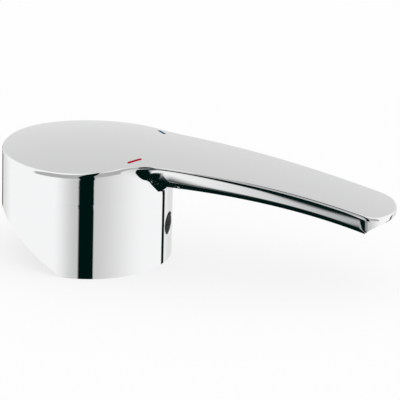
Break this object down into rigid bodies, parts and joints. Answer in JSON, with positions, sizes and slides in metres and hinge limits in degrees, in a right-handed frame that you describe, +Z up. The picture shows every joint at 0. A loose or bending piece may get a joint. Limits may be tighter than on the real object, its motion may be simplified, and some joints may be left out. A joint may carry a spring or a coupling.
{
  "type": "replacement tap handle",
  "caption": "Lever handle for a single-lever basin mixer: round cap with a domed top that runs on into an arched lever, with a square spindle socket and a set screw inside.",
  "frame": {"origin": "on the cap's axis, which is the spindle's axis, in the plane of the cap's lower rim", "axes": "+X from the cap's axis towards the tip of the lever, +Z up along the spindle's axis towards the domed top, -Y to the side of the hot mark"},
  "size_m": [0.1078, 0.046, 0.0325],
  "materials": {
    "chrome_plate": "polished chrome plate on a zinc die casting",
    "screw_steel": "plain stainless steel",
    "red_enamel": "gloss enamel fill",
    "blue_enamel": "gloss enamel fill"
  },
  "bodies": {
    "root": {"handle_body": "chrome_plate", "set_screw": "screw_steel", "hot_mark": "red_enamel", "cold_mark": "blue_enamel"}
  },
  "joints": []
}
